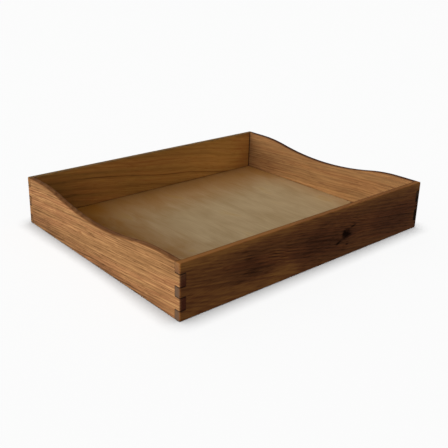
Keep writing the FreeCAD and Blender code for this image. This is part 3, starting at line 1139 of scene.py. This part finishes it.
@dataclass(frozen=True)
class BirchVeneer:
    """Rotary-cut birch veneer, sanded and given one thin coat of oil.

    The eye sees a pale, even, slightly greyish tan with a faint wild figure, since the knife peels
    round the log instead of cutting across it, and a few fine brown flecks. It is nearly matt.
    """

    pale_hex: str = "#b8a07b"
    body_hex: str = "#9a8058"
    streak_hex: str = "#a58340"
    # the colour of the painted shade along the walls, warm as with light bounced off the oak
    wall_shade_hex: str = "#985f10"
    ior: float = 1.48
    roughness: float = 0.62
    gloss: float = 0.2
    fibre_mm: float = 1.6
    fibre_length_mm: float = 45.0
    figure_mm: float = 26.0
    figure_length_mm: float = 62.0
    # a veneer's figure hardly changes through its thickness
    figure_depth_mm: float = 50.0
    relief_mm: float = 0.04
    # where in the figure and fibres the colour turns pale, and where the streaks come in
    pale_range: Range = (0.45, 1.05)
    streak_range: Range = (0.58, 0.72)
    streak_share: float = 0.5
    # painted shade and warm bounce light along the walls, strongest at the left and back
    wall_shades: tuple[WallShade, ...] = (
        WallShade(Side.LEFT, width_mm=140.0, share=1.0),
        WallShade(Side.BACK, width_mm=115.0, share=0.7),
        WallShade(Side.RIGHT, width_mm=40.0, share=0.25),
        WallShade(Side.FRONT, width_mm=20.0, share=0.4),
    )
    # how far the figure breaks up the painted shade's edge, as a share of its width
    wall_shade_ragged: float = 0.4

    def material(self, name: str, grain: Grain, low: Vector, high: Vector) -> bpy.types.Material:
        """Makes one ply's veneer.

        Args:
            name: the material's name.
            grain: which way it runs.
            low: the ply's lowest corner, in metres.
            high: its highest corner.

        Returns:
            The material.
        """
        g = Graph(name)
        where = g.add("TexCoord", {}, out="Object")
        sheet = g.add(
            "Mapping",
            {
                "Vector": where,
                "Location": (low + high) / 2,
                "Rotation": (0, 0, math.radians(grain.value)),
                "Scale": (MM, MM, MM),
            },
            vector_type="TEXTURE",
        )
        wild = (1 / self.figure_length_mm, 1 / self.figure_mm, 1 / self.figure_depth_mm)
        broad = g.add("VectorMath", {0: sheet, 1: wild}, operation="MULTIPLY")
        figure = g.add(
            "TexNoise",
            {"Vector": broad, "Scale": 1.0, "Detail": 4.0, "Roughness": 0.55, "Distortion": 0.7},
        )
        straight = (1 / self.fibre_length_mm, 1 / self.fibre_mm, 1 / self.fibre_mm)
        fine = g.add("VectorMath", {0: sheet, 1: straight}, operation="MULTIPLY")
        fibre = g.add("TexNoise", {"Vector": fine, "Scale": 1.0, "Detail": 2.0})
        mixed = g.add("Math", {0: fibre, 1: 0.5, 2: figure}, operation="MULTIPLY_ADD")
        begins, full = self.pale_range
        light = g.add("MapRange", {"Value": mixed, "From Min": begins, "From Max": full})
        begins, full = self.streak_range
        streak = g.add(
            "MapRange",
            {"Value": figure, "From Min": begins, "From Max": full, "To Max": self.streak_share},
            interpolation_type="SMOOTHSTEP",
        )
        wall_shade = self._painted_wall_shade(g, where, figure, low, high)
        colour = linear(self.body_hex)
        for share, hex_colour in (
            (light, self.pale_hex),
            (streak, self.streak_hex),
            (wall_shade, self.wall_shade_hex),
        ):
            over = {0: share, 6: colour, 7: linear(hex_colour)}
            colour = g.add("Mix", over, out=2, data_type="RGBA")
        relief = {"Height": fibre, "Distance": self.relief_mm * MM, "Strength": 0.7}
        shader = g.add(
            "BsdfPrincipled",
            {
                "Base Color": colour,
                "Roughness": self.roughness,
                "Normal": g.add("Bump", relief),
                "IOR": self.ior,
                "Specular IOR Level": self.gloss,
            },
        )
        g.add("OutputMaterial", {"Surface": shader})
        return g.material

    def _painted_wall_shade(
        self, g: Graph, where: Socket, figure: Socket, low: Vector, high: Vector
    ) -> Socket:
        """Finds where the painted shade lies on the base, warm as with light bounced off the walls:
        along the left and back walls, and thinly at the others.

        Args:
            g: the material's graph.
            where: position in the tray's frame, in metres.
            figure: the veneer's broad figure, which breaks up the painted shade's edge.
            low: the ply's lowest corner.
            high: its highest corner.

        Returns:
            1 where the painted shade is full, 0 where there is none.
        """
        walls = {
            Side.LEFT: ("X", low.x, 1.0),
            Side.RIGHT: ("X", high.x, -1.0),
            Side.FRONT: ("Y", low.y, 1.0),
            Side.BACK: ("Y", high.y, -1.0),
        }
        about_zero = g.add("Math", {0: figure, 1: 0.5}, operation="SUBTRACT")
        ragged = g.add("Math", {0: about_zero, 1: self.wall_shade_ragged}, operation="MULTIPLY")
        unshaded = 1.0
        for wall_shade in self.wall_shades:
            axis, wall, inwards = walls[wall_shade.side]
            place = g.add("SeparateXYZ", {0: where}, out=axis)
            from_wall = g.add("Math", {0: place, 1: wall}, operation="SUBTRACT")
            in_widths = {0: from_wall, 1: inwards / (wall_shade.width_mm * MM), 2: ragged}
            distance = g.add("Math", in_widths, operation="MULTIPLY_ADD")
            clear = g.add(
                "MapRange",
                {"Value": distance, "To Min": 1.0 - wall_shade.share, "To Max": 1.0},
                interpolation_type="SMOOTHERSTEP",
            )
            unshaded = g.add("Math", {0: clear, 1: unshaded}, operation="MULTIPLY")
        return g.add("Math", {0: 1.0, 1: unshaded}, operation="SUBTRACT")


@dataclass
class PlywoodBase:
    """The base: two face veneers with the core's grain crossed between them."""

    veneer: BirchVeneer = BirchVeneer()
    plies: tuple[tuple[str, Grain], ...] = (
        ("base_face_ply", Grain.FRONT_TO_BACK),
        ("base_core_ply", Grain.SIDE_TO_SIDE),
        ("base_back_ply", Grain.FRONT_TO_BACK),
    )

    def dress(self) -> None:
        """Gives each ply its veneer."""
        for node, grain in self.plies:
            dress_node(node, self.veneer.material(f"birch_veneer_{node}", grain, *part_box(node)))


def dress_node(node: str, material: bpy.types.Material) -> None:
    """Gives a carried-over piece its material.

    Args:
        node: the piece's name.
        material: its finish.
    """
    piece = frame["nodes"][node]
    for slot in piece.material_slots:
        slot.material = material
    LOG.info("%s is dressed in %s", node, material.name)


# ------------------------------------------------------------------------------------ studio


@dataclass(frozen=True)
class Sun:
    """A distant soft light.

    Attributes:
        spread_deg: how wide it looks; the wider, the softer its shadows.
        azimuth_deg: where it stands, clockwise from -X towards +Y.
        elevation_deg: its height above the horizon.
    """

    strength: float
    spread_deg: float
    azimuth_deg: float
    elevation_deg: float


@dataclass(frozen=True)
class Viewpoint:
    """Where the camera stands, over the tray's near left corner, and how it looks down at it.

    Attributes:
        lens_shift: how far the picture slides across and up, as a share of its width.
        yaw_deg: how far it looks to the right of straight ahead.
        pitch_deg: how far it looks down.
        back_m: how far it stands back from the tray's middle.
        aside_m: how far it then steps to the right.
        up_m: how far it then rises.
    """

    lens_mm: float = 53.48
    sensor_mm: float = 36.0
    lens_shift: tuple[float, float] = (0.0549, -0.0740)
    yaw_deg: float = 39.495
    pitch_deg: float = 19.733
    roll_deg: float = 0.832
    back_m: float = 0.7511
    aside_m: float = -0.02772
    up_m: float = 0.01228


@dataclass
class Studio:
    """A pale floor, soft light from the left and behind, and the camera.

    Attributes:
        ambient: the even light of the room on what stands in it.
        backdrop: how white the room looks behind the floor.
        key: low, to the left of the tray and a little behind it, on the whole tray.
        fill: weak, from the front, on the back board and the base, which the key leaves in shade.
        floor_sun: overhead, lights the grey floor up to white round a close soft shadow.
        stand_off_m: how far each light's own marker is from the tray.
    """

    floor_hex: str = "#8c8c8c"
    floor_size_m: float = 12.0
    ambient: float = 0.25
    backdrop: float = 0.965
    key: Sun = Sun(strength=3.8, spread_deg=50.0, azimuth_deg=15.0, elevation_deg=20.0)
    fill: Sun = Sun(strength=0.7, spread_deg=60.0, azimuth_deg=-70.0, elevation_deg=30.0)
    floor_sun: Sun = Sun(strength=10.3, spread_deg=38.0, azimuth_deg=120.0, elevation_deg=88.2)
    stand_off_m: float = 1.5
    view: Viewpoint = Viewpoint()

    def build(self) -> None:
        """Sets out the floor, the lights and the camera."""
        floor = self._floor()
        nodes = frame["nodes"]
        self._air()
        self._shine("key", self.key, list(nodes.values()))
        self._shine("fill", self.fill, [nodes["back_board"], nodes["base_face_ply"]])
        self._shine("floor_sun", self.floor_sun, [floor])
        self._camera()
        bpy.context.scene.view_settings.view_transform = "Standard"

    def _floor(self) -> bpy.types.Object:
        """Lays the floor under the tray.

        Returns:
            The floor.
        """
        mesh = bpy.data.meshes.new("floor")
        half = self.floor_size_m / 2
        outline = ((-half, -half), (half, -half), (half, half), (-half, half))
        mesh.from_pydata([(x, y, CAD_BOX[0].z) for x, y in outline], [], [(0, 1, 2, 3)])
        floor = bpy.data.objects.new("floor", mesh)
        bpy.context.scene.collection.objects.link(floor)
        g = Graph("paper_sweep")
        shader = g.add("BsdfPrincipled", {"Base Color": linear(self.floor_hex), "Roughness": 0.9})
        g.add("OutputMaterial", {"Surface": shader})
        mesh.materials.append(g.material)
        # The floor is lit to white but throws no light back up at the wood.
        floor.visible_diffuse = False
        floor.visible_glossy = False
        return floor

    def _air(self) -> None:
        """Fills the room with even light, and shows white behind the floor."""
        world = bpy.data.worlds.new("studio_air")
        world.use_nodes = True
        bpy.context.scene.world = world
        nodes, links = world.node_tree.nodes, world.node_tree.links
        background = nodes["Background"]
        background.inputs["Color"].default_value = (1, 1, 1, 1)
        path = nodes.new("ShaderNodeLightPath")
        strength = nodes.new("ShaderNodeMapRange")
        strength.inputs["To Min"].default_value = self.ambient
        strength.inputs["To Max"].default_value = self.backdrop
        links.new(path.outputs["Is Camera Ray"], strength.inputs["Value"])
        links.new(strength.outputs[0], background.inputs["Strength"])

    def _shine(self, name: str, sun: Sun, lit: list[bpy.types.Object]) -> None:
        """Sets up a light, aimed at the middle of the tray.

        Args:
            name: the light's name.
            sun: the light.
            lit: all that it falls on.
        """
        light = bpy.data.lights.new(name, "SUN")
        light.energy = sun.strength
        light.angle = math.radians(sun.spread_deg)
        lamp = bpy.data.objects.new(name, light)
        bpy.context.scene.collection.objects.link(lamp)
        turn, rise = math.radians(sun.azimuth_deg), math.radians(sun.elevation_deg)
        away = Vector(
            (-math.cos(turn) * math.cos(rise), math.sin(turn) * math.cos(rise), math.sin(rise))
        )
        middle = (CAD_BOX[0] + CAD_BOX[1]) / 2
        lamp.location = middle + away * self.stand_off_m
        lamp.rotation_euler = away.to_track_quat("Z", "Y").to_euler()
        group = bpy.data.collections.new(f"lit_by_{name}")
        for piece in lit:
            group.objects.link(piece)
        lamp.light_linking.receiver_collection = group

    def _camera(self) -> None:
        """Puts the camera at its viewpoint."""
        view = self.view
        data = bpy.data.cameras.new("camera")
        data.lens = view.lens_mm
        data.sensor_width = view.sensor_mm
        data.shift_x, data.shift_y = view.lens_shift
        camera = bpy.data.objects.new("camera", data)
        bpy.context.scene.collection.objects.link(camera)
        yaw, pitch = math.radians(view.yaw_deg), math.radians(view.pitch_deg)
        ahead = Vector(
            (math.sin(yaw) * math.cos(pitch), math.cos(yaw) * math.cos(pitch), -math.sin(pitch))
        )
        right = Vector((math.cos(yaw), -math.sin(yaw), 0))
        up = right.cross(ahead)
        middle = (CAD_BOX[0] + CAD_BOX[1]) / 2
        camera.location = middle - view.back_m * ahead + view.aside_m * right + view.up_m * up
        camera.rotation_mode = "QUATERNION"
        basis = Matrix((right, up, -ahead)).transposed()
        roll = Matrix.Rotation(math.radians(view.roll_deg), 3, "Z")
        camera.rotation_quaternion = (basis @ roll).to_quaternion()
        bpy.context.scene.camera = camera


def main() -> None:
    """Dresses the tray's parts in order and sets out the studio."""
    logging.basicConfig(level=logging.INFO, format="%(name)s: %(message)s")
    BoxFrame().dress()
    PlywoodBase().dress()
    Studio().build()


if __name__ == "__main__":
    main()
